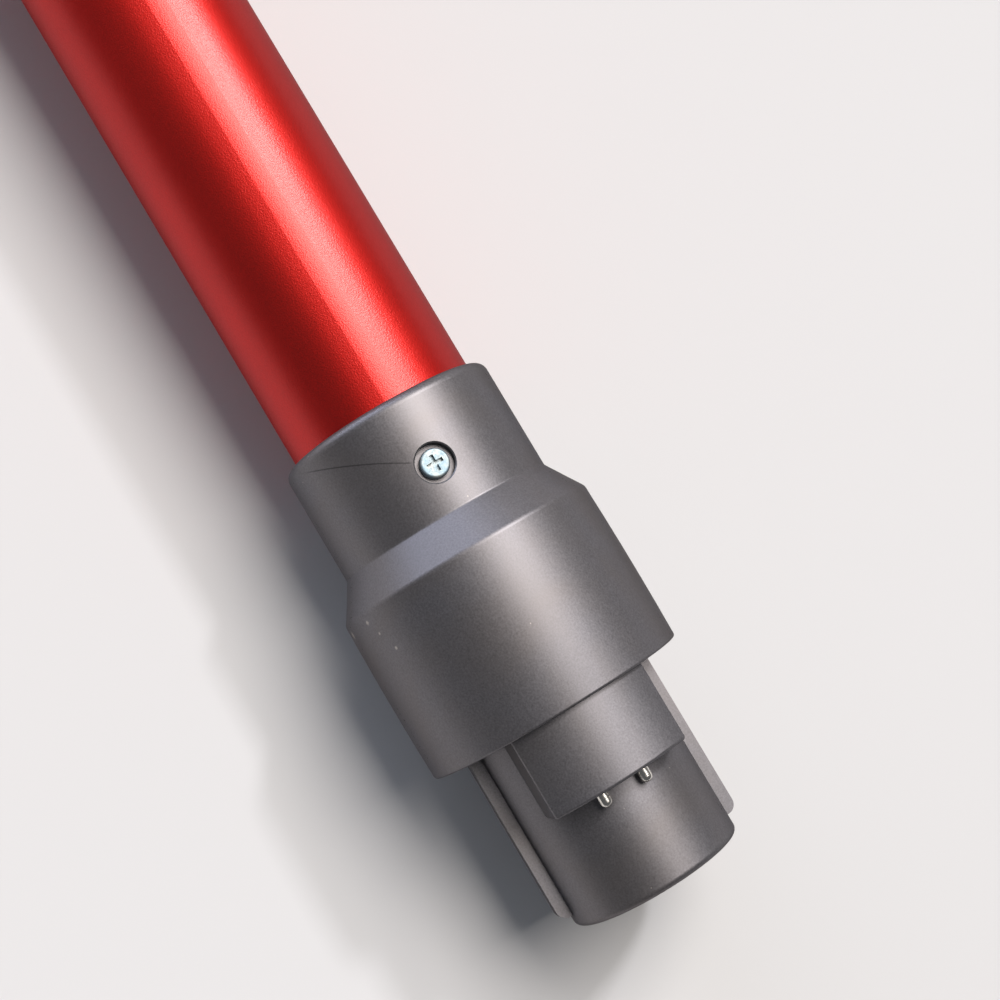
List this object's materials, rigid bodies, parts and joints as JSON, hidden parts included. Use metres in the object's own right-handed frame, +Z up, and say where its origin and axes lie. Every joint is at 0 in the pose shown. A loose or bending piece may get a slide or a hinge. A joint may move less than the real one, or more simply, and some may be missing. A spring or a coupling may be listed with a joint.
{
  "type": "vacuum cleaner tube",
  "caption": "Straight vacuum extension tube: red metal tube, grey collars, a male spigot with a raised contact box and pins at one end, a keyed socket with a sprung release button at the other.",
  "frame": {"origin": "middle of the wand's length, on the surface that it rests on, below the wand's axis", "axes": "+X along the wand towards the machine end's spigot, +Z up on the side of the contacts, Y across"},
  "size_m": [0.73, 0.0532, 0.0533],
  "materials": {
    "red_tube": "satin red anodised",
    "collar_grey": "iron grey with fine metallic flake, satin",
    "inner_grey": "dark grey, satin",
    "inner_black": "black, matte",
    "plated_contact": "bright nickel plate",
    "strip_contact": "plain stamped brass",
    "zinc_screw": "zinc plate",
    "button_grey": "dark grey, fine texture",
    "spring_steel": "drawn wire",
    "duct_white": "natural, matte",
    "wire_red": "insulation, red",
    "wire_black": "insulation, black"
  },
  "bodies": {
    "wand": {"main_tube": "red_tube", "upper_collar": "collar_grey", "lower_collar": "collar_grey", "spigot": "collar_grey", "contact_housing": "collar_grey", "socket": "inner_grey", "contact_carrier": "inner_black", "socket_contact_block": "inner_black", "contact_pin_left": "plated_contact", "contact_pin_right": "plated_contact", "socket_contact_left": "strip_contact", "socket_contact_right": "strip_contact", "upper_screw": "zinc_screw", "lower_screw": "zinc_screw", "button_pin": "spring_steel", "button_spring": "spring_steel", "cable_duct": "duct_white", "wire_left": "wire_red", "wire_right": "wire_black"},
    "button": {"release_button": "button_grey"}
  },
  "joints": [
    {"name": "release_button_hinge", "type": "hinge", "parent": "wand", "child": "button", "pos_m": [-0.32075, 0, 0.00485], "axis": [0, -1, 0], "range_deg": [0, 3.4], "stiffness_Nm_per_rad": 1, "springref_deg": -4.01, "deforming": ["button_spring"]}
  ]
}
